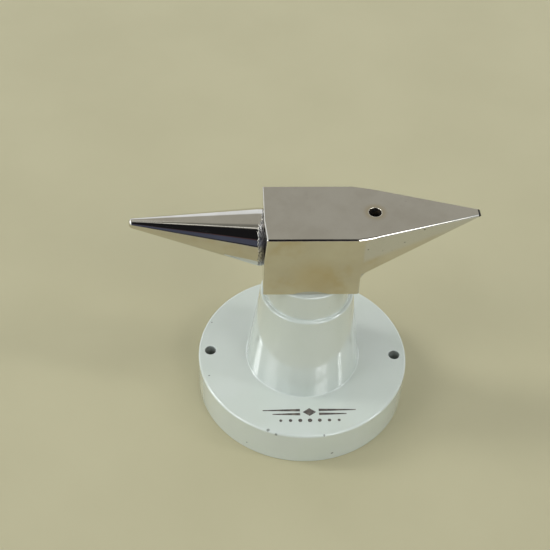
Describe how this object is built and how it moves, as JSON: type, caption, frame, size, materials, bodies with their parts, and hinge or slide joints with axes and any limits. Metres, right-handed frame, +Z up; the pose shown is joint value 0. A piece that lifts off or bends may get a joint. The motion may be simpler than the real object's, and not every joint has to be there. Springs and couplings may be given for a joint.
{
  "type": "double-horn bench anvil",
  "caption": "Small polished steel double-horn bench anvil, round horn and flat horn, clamped on a painted round pedestal with bench screw holes.",
  "frame": {"origin": "centre of the pedestal's underside, on the axis of the pedestal and of the clamp screw", "axes": "+Z up, +X along the head from the block towards the flat horn's tip"},
  "size_m": [0.1144, 0.076, 0.0849],
  "materials": {
    "painted_casting": "gloss enamel on a cast pedestal",
    "polished_steel": "mirror polished and bright plated",
    "black_screw_steel": "black oxide",
    "zinc_plated_steel": "bright zinc"
  },
  "bodies": {
    "root": {"pedestal": "painted_casting", "anvil_head": "polished_steel", "clamp_screw": "black_screw_steel", "lock_washer": "zinc_plated_steel", "flat_washer": "zinc_plated_steel"}
  },
  "joints": []
}
